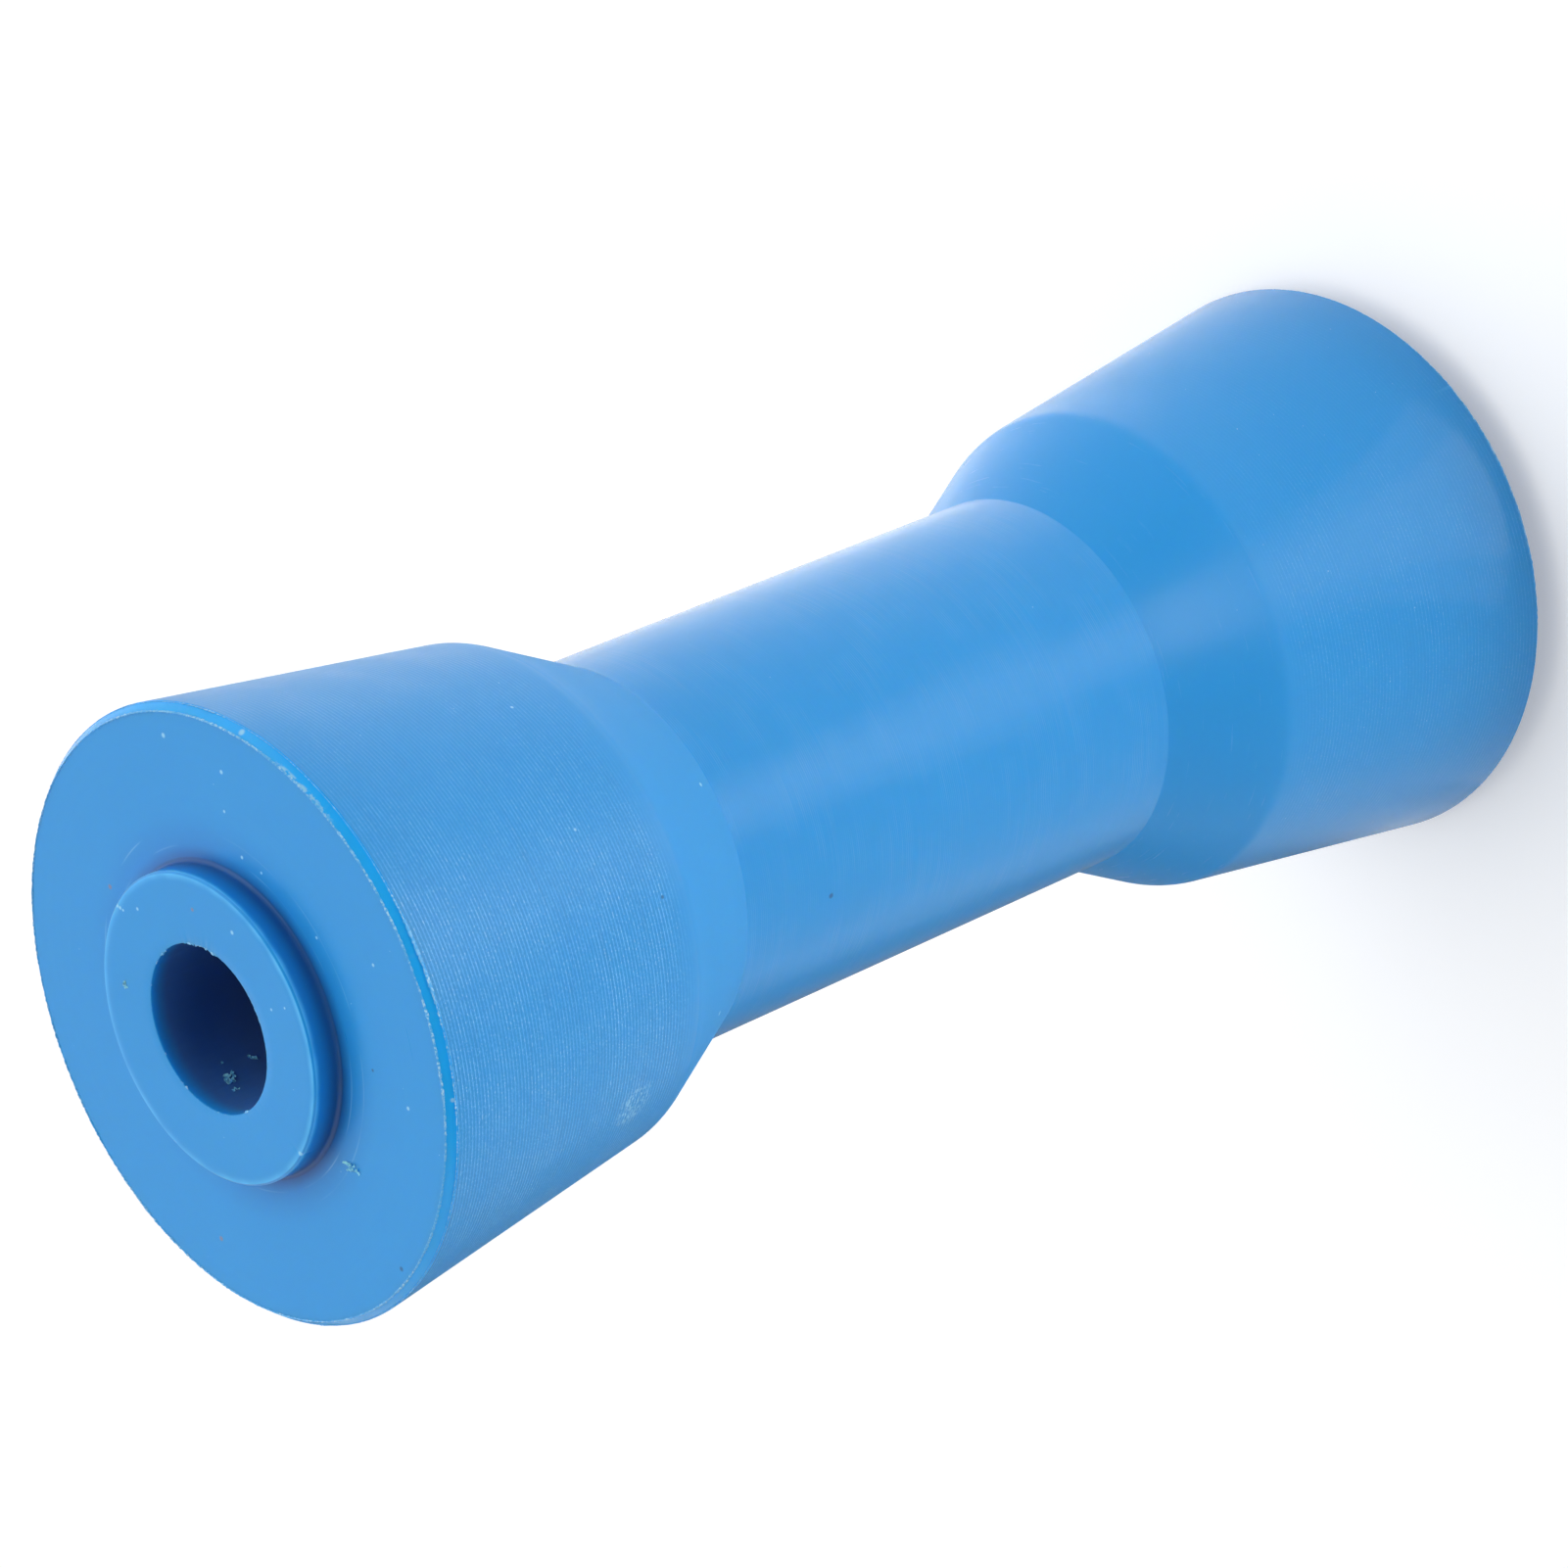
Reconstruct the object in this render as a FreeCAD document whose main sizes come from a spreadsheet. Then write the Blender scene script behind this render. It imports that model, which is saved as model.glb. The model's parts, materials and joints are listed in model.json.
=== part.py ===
import FreeCAD, Part
import math
import os
import Sketcher

# Keel roller of a boat trailer, turned from one solid bar of blue plastic.
# It stands on one hub end: the axle bore runs along +Z and the origin lies
# on the axis at the lower hub end. Millimetres throughout.
#
# The roller is the same on both ends. Its upper half is revolved from one
# profile, its edges are finished, and the whole half is mirrored about the
# middle of its length before the axle bore goes through.

NODE = "keel_roller"

# Driving sizes: alias, value, what it measures.
SIZES = [
    ("overall_length", 200.0, "from one hub end to the other"),
    ("rim_diameter", 77.0, "largest diameter, where a head meets its end face, before the edge is broken"),
    ("head_length", 44.0, "from the end face to the edge of the shoulder, along the axis"),
    ("head_taper_angle", 7.7, "degrees by which a head narrows towards the waist, on each side"),
    ("shoulder_length", 15.0, "slope from a head down to the waist, along the axis"),
    ("waist_diameter", 50.2, "plain cylinder that the keel rests on"),
    ("hub_diameter", 38.5, "raised boss round the bore on each end face"),
    ("hub_height", 3.7, "how far a boss stands off its end face"),
    ("bore_diameter", 21.0, "axle bore, for a 20 mm pin"),
    ("rim_chamfer", 1.1, "broken edge round each end face"),
    ("hub_root_radius", 0.5, "tool radius left at the foot of a boss"),
    ("hub_edge_chamfer", 0.3, "light break round the end of a boss"),
]

# Two edges belong to one size when they differ by less than this.
MATCH = 1e-4


def fill_sheet(doc):
    """Write the driving sizes into a spreadsheet, one row each."""
    sheet = doc.addObject("Spreadsheet::Sheet", "sizes")
    for row, (alias, value, meaning) in enumerate(SIZES, start=1):
        sheet.set(f"A{row}", alias)
        sheet.set(f"B{row}", str(value))
        sheet.set(f"C{row}", meaning)
        sheet.setAlias(f"B{row}", alias)
    doc.recompute()
    return sheet


def origin_part(body, role):
    """Return one of the body's own origin planes or axes."""
    for feature in body.Origin.OriginFeatures:
        if feature.Role == role:
            return feature
    raise RuntimeError(f"{body.Label} has no {role}")


def new_sketch(body, name, plane):
    """Add a sketch that lies on one of the body's origin planes."""
    sketch = body.newObject("Sketcher::SketchObject", name)
    sketch.AttachmentSupport = [(origin_part(body, plane), "")]
    sketch.MapMode = "FlatFace"
    return sketch


def dimension(sketch, name, constraint, expression):
    """Add a named dimension and tie it to the sheet."""
    index = sketch.addConstraint(constraint)
    sketch.renameConstraint(index, name)
    sketch.setExpression(f"Constraints.{name}", expression)


def draw_half_profile(body, size):
    """Draw the roller's upper half as seen on one side of the axis."""
    rim = size.rim_diameter / 2
    waist = size.waist_diameter / 2
    hub = size.hub_diameter / 2
    hub_end = size.overall_length / 2
    face = hub_end - size.hub_height
    edge = face - size.head_length
    neck = edge - size.shoulder_length
    shoulder = rim - size.head_length * math.tan(math.radians(size.head_taper_angle))

    corners = [
        (0, 0),
        (waist, 0),
        (waist, neck),
        (shoulder, edge),
        (rim, face),
        (hub, face),
        (hub, hub_end),
        (0, hub_end),
    ]
    middle, waist_side, slope, head, end_face, hub_side, hub_face, axis = range(len(corners))

    sketch = new_sketch(body, "half_profile", "XZ_Plane")
    points = [FreeCAD.Vector(x, y, 0) for x, y in corners]
    for index, start in enumerate(points):
        end = points[(index + 1) % len(points)]
        sketch.addGeometry(Part.LineSegment(start, end))
    for index in range(len(points)):
        following = (index + 1) % len(points)
        sketch.addConstraint(Sketcher.Constraint("Coincident", index, 2, following, 1))
    sketch.addConstraint(Sketcher.Constraint("Coincident", middle, 1, -1, 1))
    for line in (middle, end_face, hub_face):
        sketch.addConstraint(Sketcher.Constraint("Horizontal", line))
    for line in (waist_side, hub_side, axis):
        sketch.addConstraint(Sketcher.Constraint("Vertical", line))

    across = "DistanceX"
    along = "DistanceY"
    dimension(sketch, "waist_radius",
              Sketcher.Constraint(across, -1, 1, waist_side, 1, waist),
              "sizes.waist_diameter / 2")
    dimension(sketch, "rim_radius",
              Sketcher.Constraint(across, -1, 1, head, 2, rim),
              "sizes.rim_diameter / 2")
    dimension(sketch, "hub_radius",
              Sketcher.Constraint(across, -1, 1, hub_side, 1, hub),
              "sizes.hub_diameter / 2")
    dimension(sketch, "half_length",
              Sketcher.Constraint(along, -1, 1, hub_side, 2, hub_end),
              "sizes.overall_length / 2")
    dimension(sketch, "hub_height",
              Sketcher.Constraint(along, hub_side, 1, hub_side, 2, size.hub_height),
              "sizes.hub_height")
    dimension(sketch, "head_length",
              Sketcher.Constraint(along, head, 1, head, 2, size.head_length),
              "sizes.head_length")
    dimension(sketch, "shoulder_length",
              Sketcher.Constraint(along, slope, 1, slope, 2, size.shoulder_length),
              "sizes.shoulder_length")
    dimension(sketch, "head_slope",
              Sketcher.Constraint("Angle", head, math.radians(90 - size.head_taper_angle)),
              "(90 - sizes.head_taper_angle) * 1 deg")
    return sketch


def ring_edge(feature, radius, height):
    """Name the round edge of a feature that has this radius at this height."""
    for index, edge in enumerate(feature.Shape.Edges, start=1):
        curve = edge.Curve
        if not isinstance(curve, Part.Circle):
            continue
        if abs(curve.Radius - radius) < MATCH and abs(curve.Center.z - height) < MATCH:
            return f"Edge{index}"
    raise RuntimeError(f"{feature.Label} has no ring of radius {radius} at height {height}")


def finish_edges(body, half, size):
    """Break the rim and the boss edge, and round the foot of the boss."""
    doc = body.Document
    hub_end = size.overall_length / 2
    face = hub_end - size.hub_height
    hub = size.hub_diameter / 2

    rim = body.newObject("PartDesign::Chamfer", "rim_chamfer")
    rim.Base = (half, [ring_edge(half, size.rim_diameter / 2, face)])
    rim.setExpression("Size", "sizes.rim_chamfer")
    doc.recompute()

    root = body.newObject("PartDesign::Fillet", "hub_root")
    root.Base = (rim, [ring_edge(rim, hub, face)])
    root.setExpression("Radius", "sizes.hub_root_radius")
    doc.recompute()

    lip = body.newObject("PartDesign::Chamfer", "hub_edge")
    lip.Base = (root, [ring_edge(root, hub, hub_end)])
    lip.setExpression("Size", "sizes.hub_edge_chamfer")
    doc.recompute()
    return lip


def drill_bore(body):
    """Drill the axle bore from the upper hub end right through."""
    centre = new_sketch(body, "bore_centre", "XY_Plane")
    centre.setExpression("AttachmentOffset.Base.z", "sizes.overall_length / 2")
    ring = centre.addGeometry(Part.Circle(FreeCAD.Vector(0, 0, 0), FreeCAD.Vector(0, 0, 1), 1.0))
    centre.addConstraint(Sketcher.Constraint("Coincident", ring, 3, -1, 1))
    dimension(centre, "bore_radius",
              Sketcher.Constraint("Radius", ring, 1.0),
              "sizes.bore_diameter / 2")
    body.Document.recompute()

    bore = body.newObject("PartDesign::Hole", "axle_bore")
    bore.Profile = centre
    body.Document.recompute()
    bore.Threaded = False
    bore.HoleCutType = "None"
    bore.DepthType = "ThroughAll"
    bore.setExpression("Diameter", "sizes.bore_diameter")
    body.Document.recompute()
    return bore


def make_roller(doc, size):
    """Build the roller as one turned body."""
    body = doc.addObject("PartDesign::Body", NODE)
    body.Label = NODE
    profile = draw_half_profile(body, size)
    doc.recompute()

    half = body.newObject("PartDesign::Revolution", "turned_half")
    half.Profile = profile
    half.ReferenceAxis = (profile, ["V_Axis"])
    half.Angle = 360.0
    doc.recompute()

    finished = finish_edges(body, half, size)

    both = body.newObject("PartDesign::Mirrored", "both_ends")
    both.TransformMode = "Whole shape"
    both.MirrorPlane = (origin_part(body, "XY_Plane"), [""])
    body.Tip = both
    doc.recompute()
    if abs(both.Shape.Volume - 2 * finished.Shape.Volume) > 1.0:
        raise RuntimeError("the lower half was not mirrored")

    bore = drill_bore(body)
    drilled = both.Shape.Volume - bore.Shape.Volume
    expected = math.pi * (size.bore_diameter / 2) ** 2 * size.overall_length
    if abs(drilled - expected) > 1.0:
        raise RuntimeError("the axle bore does not go right through")

    body.setExpression("Placement.Base.z", "sizes.overall_length / 2")
    doc.recompute()
    return body


def check_document(doc, bodies):
    """Stop when a feature has failed or a body is not a sound solid."""
    for item in doc.Objects:
        if "Invalid" in item.State or "Error" in item.State:
            raise RuntimeError(f"{item.Label} has failed: {item.State}")
    for body in bodies:
        shape = body.Shape
        if shape.isNull() or not shape.isValid() or len(shape.Solids) != 1:
            raise RuntimeError(f"{body.Label} is not one sound solid")


def main():
    doc = FreeCAD.newDocument("boat_trailer_roller")
    size = fill_sheet(doc)
    roller = make_roller(doc, size)
    check_document(doc, [roller])
    os.makedirs("parts", exist_ok=True)
    roller.Shape.exportStep(f"parts/{roller.Label}.step")
    box = roller.Shape.BoundBox
    print(f"{roller.Label}: {box.XLength:.2f} x {box.YLength:.2f} x {box.ZLength:.2f} mm, "
          f"from z {box.ZMin:.2f}, volume {roller.Shape.Volume:.0f} mm3, {len(roller.Shape.Faces)} faces")


main()
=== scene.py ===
import json
import math
import random
from collections import namedtuple

import bpy
from bpy.props import FloatProperty, FloatVectorProperty, IntProperty, PointerProperty
from mathutils import Matrix, Vector, noise


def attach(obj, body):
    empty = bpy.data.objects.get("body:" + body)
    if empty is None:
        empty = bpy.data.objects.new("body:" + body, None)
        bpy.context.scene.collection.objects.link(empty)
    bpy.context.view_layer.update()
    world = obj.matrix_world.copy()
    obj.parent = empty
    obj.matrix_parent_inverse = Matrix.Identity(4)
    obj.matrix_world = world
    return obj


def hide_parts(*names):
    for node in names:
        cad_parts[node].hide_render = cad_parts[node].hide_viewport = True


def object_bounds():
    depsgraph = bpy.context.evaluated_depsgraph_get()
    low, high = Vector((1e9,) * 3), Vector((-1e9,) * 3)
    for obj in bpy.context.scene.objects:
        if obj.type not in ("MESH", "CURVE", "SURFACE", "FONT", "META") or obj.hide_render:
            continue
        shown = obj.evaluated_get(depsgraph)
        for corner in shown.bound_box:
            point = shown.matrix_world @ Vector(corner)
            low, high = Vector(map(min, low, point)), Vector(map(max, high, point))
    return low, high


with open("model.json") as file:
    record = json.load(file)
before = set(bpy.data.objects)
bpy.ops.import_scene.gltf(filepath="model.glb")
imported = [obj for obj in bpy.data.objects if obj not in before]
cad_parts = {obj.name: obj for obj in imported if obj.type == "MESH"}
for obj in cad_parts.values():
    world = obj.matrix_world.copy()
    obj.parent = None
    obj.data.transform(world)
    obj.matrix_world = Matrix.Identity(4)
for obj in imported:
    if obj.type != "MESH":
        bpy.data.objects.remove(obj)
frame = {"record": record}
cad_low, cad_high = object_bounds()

# The looks of a boat trailer's keel roller, and the stage that it stands on.
# It stands on one hub end with its bore along +Z, and its upper end is the near one in the photo.
# Angles run round it from +X towards -Y, so 90 degrees faces the camera.

bl_info = {
    "name": "Keel Roller",
    "version": (1, 0, 0),
    "blender": (4, 5, 0),
    "location": "View3D > Sidebar > Roller",
    "description": "Turned plastic keel roller with its finish, its burrs and its studio stage",
    "category": "Object",
}

MM = 0.001
NODE = "keel_roller"
BODY = "root"


def mount(name):
    """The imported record's mount of that name."""
    for entry in frame["record"]["mounts"]:
        if entry["name"] == name:
            return entry
    raise RuntimeError(f"the record has no mount named {name}")


LENGTH = cad_high.z - cad_low.z
HALF = LENGTH / 2
MIDDLE = (cad_high.z + cad_low.z) / 2
RIM_RADIUS = (cad_high.x - cad_low.x) / 2
BORE_RADIUS = mount("axle_bore")["dims"]["r_mm"] * MM
HUB_RADIUS = 19.25 * MM


class RollerSizes(bpy.types.PropertyGroup):
    """Sizes of the turned body, as in the solid."""

    waist_radius: FloatProperty(
        name="Waist radius", description="Radius of the plain cylinder between the shoulders",
        default=25.1 * MM, unit="LENGTH")
    head_length: FloatProperty(
        name="Head length", description="From an end face to the edge of its shoulder",
        default=44.0 * MM, unit="LENGTH")
    head_taper: FloatProperty(
        name="Head taper", description="How far a head narrows towards the waist, on each side",
        default=math.radians(7.7), subtype="ANGLE", unit="ROTATION")
    shoulder_length: FloatProperty(
        name="Shoulder length", description="Slope from a head down to the waist",
        default=15.0 * MM, unit="LENGTH")
    hub_radius: FloatProperty(
        name="Hub radius", description="Radius of the raised boss round the bore",
        default=HUB_RADIUS, unit="LENGTH")
    hub_height: FloatProperty(
        name="Hub height", description="How far a boss stands off its end face",
        default=3.7 * MM, unit="LENGTH")
    rim_chamfer: FloatProperty(
        name="Rim chamfer", description="Broken edge round an end face",
        default=1.1 * MM, unit="LENGTH")
    hub_chamfer: FloatProperty(
        name="Hub chamfer", description="Light break round the end of a boss",
        default=0.3 * MM, unit="LENGTH")
    edge_rounding: FloatProperty(
        name="Edge rounding", description="Radius that softens the edge between a head and its shoulder",
        default=7.0 * MM, unit="LENGTH")
    hub_dish: FloatProperty(
        name="Hub dish", description="How far a boss's end is hollowed inside its edge",
        default=0.15 * MM, unit="LENGTH")
    root_radius: FloatProperty(
        name="Root radius", description="Tool radius at the foot of a boss",
        default=0.5 * MM, unit="LENGTH")
    segments: IntProperty(
        name="Segments", description="Points round the roller", default=720, min=24)
    burr_segments: IntProperty(
        name="Burr segments", description="Points round a burr", default=2400, min=24)


class FinishSettings(bpy.types.PropertyGroup):
    """Colour, gloss and tool marks of the plastic."""

    blue: FloatVectorProperty(
        name="Blue", description="Colour of the plastic", subtype="COLOR",
        default=(0.0175, 0.302, 0.742), min=0.0, max=1.0)
    bruise: FloatVectorProperty(
        name="Bruise", description="Whitened plastic at burrs and scratches", subtype="COLOR",
        default=(0.36, 0.72, 0.95), min=0.0, max=1.0)
    roughness: FloatProperty(
        name="Roughness", description="Roughness of a turned surface", default=0.24, min=0.0, max=1.0)
    gloss_level: FloatProperty(
        name="Gloss level", description="Strength of the surface reflection",
        default=0.32, min=0.0, max=1.0)
    glow_depth: FloatProperty(
        name="Glow depth", description="How far light spreads inside the plastic",
        default=1.1 * MM, unit="LENGTH")
    feed: FloatProperty(
        name="Feed", description="Pitch of the tool marks on the heads",
        default=0.571 * MM, unit="LENGTH")


class StageSettings(bpy.types.PropertyGroup):
    """Camera and floor."""

    lens: FloatProperty(
        name="Lens", description="Focal length on a 36 mm wide sensor", default=134.165, unit="CAMERA")
    distance: FloatProperty(
        name="Distance", description="From the camera to the point that it aims at",
        default=734.26 * MM, unit="LENGTH")
    elevation: FloatProperty(
        name="Elevation", description="How steeply the camera looks down",
        default=math.radians(39.127), subtype="ANGLE", unit="ROTATION")
    roll: FloatProperty(
        name="Roll", description="Turn of the camera about its own line of sight",
        default=math.radians(-112.84), subtype="ANGLE", unit="ROTATION")
    aim_height: FloatProperty(
        name="Aim height", description="Height on the axis that the camera aims at",
        default=106.57 * MM, unit="LENGTH")
    aim_side: FloatProperty(
        name="Aim side", description="How far to the side of the axis the camera aims",
        default=0.31 * MM, unit="LENGTH")
    floor_colour: FloatProperty(
        name="Floor colour", description="How pale the floor is", default=0.8, min=0.0, max=1.0)
    floor_lift: FloatProperty(
        name="Floor lift", description="Brightness added to the floor where it is seen directly",
        default=0.30, min=0.0, max=1.0)


# Shader nodes.

class Value:
    """A shader socket that can stand in an arithmetic expression."""

    def __init__(self, graph, socket):
        self.graph = graph
        self.socket = socket

    def math(self, operation, *others):
        """Put this value and the others through one maths node."""
        return self.graph.maths(operation, self, *others)

    def __add__(self, other):
        return self.math("ADD", other)

    __radd__ = __add__

    def __sub__(self, other):
        return self.math("SUBTRACT", other)

    def __rsub__(self, other):
        return self.graph.maths("SUBTRACT", other, self)

    def __mul__(self, other):
        return self.math("MULTIPLY", other)

    __rmul__ = __mul__

    def __truediv__(self, other):
        return self.math("DIVIDE", other)

    def __rtruediv__(self, other):
        return self.graph.maths("DIVIDE", other, self)

    def band(self, low, high, top=1.0, bottom=0.0):
        """Smooth step from bottom at low to top at high."""
        return self.graph.value("ShaderNodeMapRange", {"interpolation_type": "SMOOTHSTEP"},
                                self, low, high, bottom, top)


class Graph:
    """Makes the nodes of one material or world."""

    def __init__(self, tree):
        self.tree = tree
        tree.nodes.clear()

    def node(self, kind, settings=None, *inputs, **named):
        """Add a node: its settings first, then the values or links of its sockets."""
        node = self.tree.nodes.new(kind)
        for key, value in (settings or {}).items():
            setattr(node, key, value)
        for index, value in enumerate(inputs):
            self.feed(node.inputs[index], value)
        for key, value in named.items():
            self.feed(node.inputs[key.replace("_", " ")], value)
        return node

    def value(self, kind, settings=None, *inputs, output=0, **named):
        """Add a node and take one of its outputs."""
        return Value(self, self.node(kind, settings, *inputs, **named).outputs[output])

    def feed(self, socket, value):
        """Link a value to a socket, or set the socket's own number or colour."""
        if isinstance(value, Value):
            self.tree.links.new(value.socket, socket)
        elif isinstance(value, bpy.types.NodeSocket):
            self.tree.links.new(value, socket)
        else:
            socket.default_value = value

    def maths(self, operation, *inputs):
        """One maths node."""
        return self.value("ShaderNodeMath", {"operation": operation}, *inputs)

    def compare(self, operation, first, second):
        """One number from two vectors: their distance or their dot product."""
        return self.value("ShaderNodeVectorMath", {"operation": operation}, first, second, output=1)

    def split(self, vector):
        """The three numbers of a vector."""
        return [Value(self, output) for output in self.node("ShaderNodeSeparateXYZ", None, vector).outputs]

    def coordinates(self, kind):
        """Texture coordinates of one kind."""
        return self.node("ShaderNodeTexCoord").outputs[kind]

    def blend(self, factor, first, second):
        """Mix two colours."""
        node = self.node("ShaderNodeMix", {"data_type": "RGBA"}, factor)
        self.feed(node.inputs[6], first)
        self.feed(node.inputs[7], second)
        return node.outputs[2]


def new_material(name):
    """An empty material and the maker of its nodes."""
    material = bpy.data.materials.new(name)
    material.use_nodes = True
    return material, Graph(material.node_tree)


# Meshes and objects.

def new_mesh(name, vertices, faces):
    """A mesh of these corners and faces, which has to be sound."""
    mesh = bpy.data.meshes.new(name)
    mesh.from_pydata(vertices, [], faces)
    if mesh.validate():
        raise RuntimeError(f"the mesh {name} has faults")
    mesh.update()
    return mesh


def new_object(context, name, data):
    """Put a mesh, a lamp or a camera in the scene."""
    item = bpy.data.objects.new(name, data)
    context.collection.objects.link(item)
    return item


def round_axis(radius, angle, height):
    """The point at this radius, angle and height."""
    return radius * math.cos(angle), -radius * math.sin(angle), height


def quads(first, second, count, flipped=False):
    """Faces between two rings of corners, given the number of each ring's first corner."""
    faces = []
    for corner in range(count):
        after = (corner + 1) % count
        quad = (first + corner, first + after, second + after, second + corner)
        faces.append(quad[::-1] if flipped else quad)
    return faces


# The turned body.

Corner = namedtuple("Corner", "radius height rounding steps run finish edge")
Ring = namedtuple("Ring", "radius height finish edge")

# where the noise of each end starts, and the radius that most of it is measured at
UPPER_SEED = 11.0
LOWER_SEED = 47.0
EDGE_RADIUS = 37.4 * MM

# nicks in the upper hub's edge, and torn places of a bore's mouth: angle, width, share
LIP_NICKS = ((155.6, 3.0, 1.0), (235.8, 4.0, 0.5))
MOUTH_NICKS = ((32.0, 46.0, 1.0), (241.0, 8.0, 0.7), (347.0, 8.0, 0.7))


def rounded(before, corner, after, radius, steps):
    """Points of the arc that rounds a corner of the profile."""
    into = (corner - before).normalized()
    out = (after - corner).normalized()
    turn = into.angle(out)
    reach = radius * math.tan(turn / 2)
    side = (out - into).normalized()
    centre = corner + side * (radius / math.cos(turn / 2))
    first = corner - into * reach - centre
    last = corner + out * reach - centre
    return [centre + first.slerp(last, step / steps).normalized() * radius for step in range(steps + 1)]


def stations(corner, span):
    """Where rings lie on the way from a corner to the next one, as shares of the way."""
    even = [step / (corner.run + 1) for step in range(1, corner.run + 1)]
    if corner.edge == "crest":
        close = [0.12 * MM / span, 0.30 * MM / span]
        return close + [close[-1] + (1 - close[-1]) * share for share in even]
    if corner.edge == "bevel":
        return [0.35, 0.75, 0.92]
    if corner.edge == "mouth":
        return [0.003] + even
    return even


def broken_rim(sizes):
    """Radius of the rim before its edge is broken, radius of the face's edge, reach along the axis."""
    sharp = RIM_RADIUS + sizes.rim_chamfer * math.sin(sizes.head_taper)
    return sharp, sharp - sizes.rim_chamfer, sizes.rim_chamfer * math.cos(sizes.head_taper)


def half_profile(sizes):
    """Rings of the upper half, from the waist's middle over the end to the bore's middle."""
    face = HALF - sizes.hub_height
    edge = face - sizes.head_length
    neck = edge - sizes.shoulder_length
    sharp_rim, inner_rim, slant = broken_rim(sizes)
    shoulder = sharp_rim - sizes.head_length * math.tan(sizes.head_taper)
    waist, hub, lip, dish = sizes.waist_radius, sizes.hub_radius, sizes.hub_chamfer, sizes.hub_dish

    # radius, height, rounding and its steps, rings on the way to the next corner, finish of that way, edge
    corners = [
        Corner(waist, 0.0, 0.0, 0, 3, "waist_finish", ""),
        Corner(waist, neck, 0.5 * MM, 3, 2, "shoulder_finish", ""),
        Corner(shoulder, edge, sizes.edge_rounding, 6, 4, "head_finish", ""),
        Corner(RIM_RADIUS, face - slant, 0.10 * MM, 3, 3, "cut_finish", "bevel"),
        Corner(inner_rim, face, 0.0, 0, 6, "face_finish", "crest"),
        Corner(hub, face, sizes.root_radius, 5, 2, "hub_finish", ""),
        Corner(hub, HALF - lip, 0.08 * MM, 2, 1, "hub_finish", "lip"),
        Corner(hub - lip, HALF, 0.08 * MM, 2, 5, "hub_finish", "lip"),
        Corner(BORE_RADIUS, HALF - dish, 0.10 * MM, 3, 5, "bore_finish", "mouth"),
        Corner(BORE_RADIUS, 0.0, 0.0, 0, 0, "bore_finish", ""),
    ]
    points = [Vector((corner.radius, corner.height)) for corner in corners]
    arcs = []
    for index, corner in enumerate(corners):
        if corner.rounding:
            arcs.append(rounded(*points[index - 1:index + 2], corner.rounding, corner.steps))
        else:
            arcs.append([points[index]])
    rings = []
    for index, (corner, arc) in enumerate(zip(corners, arcs)):
        previous = corners[index - 1].finish if index else corner.finish
        for number, point in enumerate(arc):
            past_middle = number >= len(arc) // 2
            rings.append(Ring(point.x, point.y, corner.finish if past_middle else previous, corner.edge))
        if index + 1 < len(arcs):
            start, stop = arc[-1], arcs[index + 1][0]
            for share in stations(corner, (stop - start).length):
                point = start.lerp(stop, share)
                rings.append(Ring(point.x, point.y, corner.finish, ""))
    return rings


def ripple(angle, size, seed, radius=EDGE_RADIUS):
    """Even noise round a ring, from -1 to 1, with bumps about as long as size."""
    spread = radius / size
    return noise.noise(Vector((math.cos(angle) * spread, math.sin(angle) * spread, seed)))


def window(angle, centre, width):
    """1 at the centre angle, falling to 0 at half the width on each side; degrees."""
    away = abs((math.degrees(angle) - centre + 180.0) % 360.0 - 180.0)
    return max(0.0, 1.0 - away / (width / 2))


def windows(angle, table):
    """The windows of a table of angles, widths and shares, added up."""
    return sum(share * window(angle, centre, width) for centre, width, share in table)


def ring_shift(ring, angle, side, sizes):
    """How nicks and tears move a point of the ring, outwards and along, and how bruised it is; on the hub's
    lip that share is a painted highlight.
    """
    seed = UPPER_SEED if side > 0 else LOWER_SEED
    if ring.edge == "crest":
        return 0.0, 0.02 * MM, 0.0
    if ring.edge == "bevel":
        slide = 0.10 + 0.07 * ripple(angle, 6.0 * MM, seed + 1) + 0.05 * ripple(angle, 1.2 * MM, seed + 2)
        slide = max(0.0, slide) * MM
        worn = ripple(angle, 1.0 * MM, seed + 5) + 0.4 * ripple(angle, 14.0 * MM, seed + 6)
        worn = max(0.0, worn - 0.25)
        out = -slide * math.sin(sizes.head_taper) - 0.02 * worn * MM
        return out, -slide * math.cos(sizes.head_taper), min(1.0, 1.1 * worn)
    if ring.edge == "lip":
        nick = windows(angle, LIP_NICKS) if side > 0 else 0.0
        uneven = ripple(angle, 2.5 * MM, seed + 9, 19.0 * MM)
        # the lip's even pale band is a painted highlight along the hub's edge; its nicks are real
        return -(0.01 * uneven + 0.12 * nick) * MM, -0.06 * nick * MM, 0.60 + 0.14 * uneven
    if ring.edge == "mouth":
        torn = min(1.0, 0.22 + windows(angle, MOUTH_NICKS))
        fine = ripple(angle, 0.6 * MM, seed + 13, BORE_RADIUS)
        notch = max(0.0, fine + 0.6 * ripple(angle, 1.3 * MM, seed + 14, BORE_RADIUS) + 0.1)
        return 0.20 * torn * notch * MM, -0.06 * torn * notch * MM, 0.0
    return 0.0, 0.0, 0.0


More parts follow.
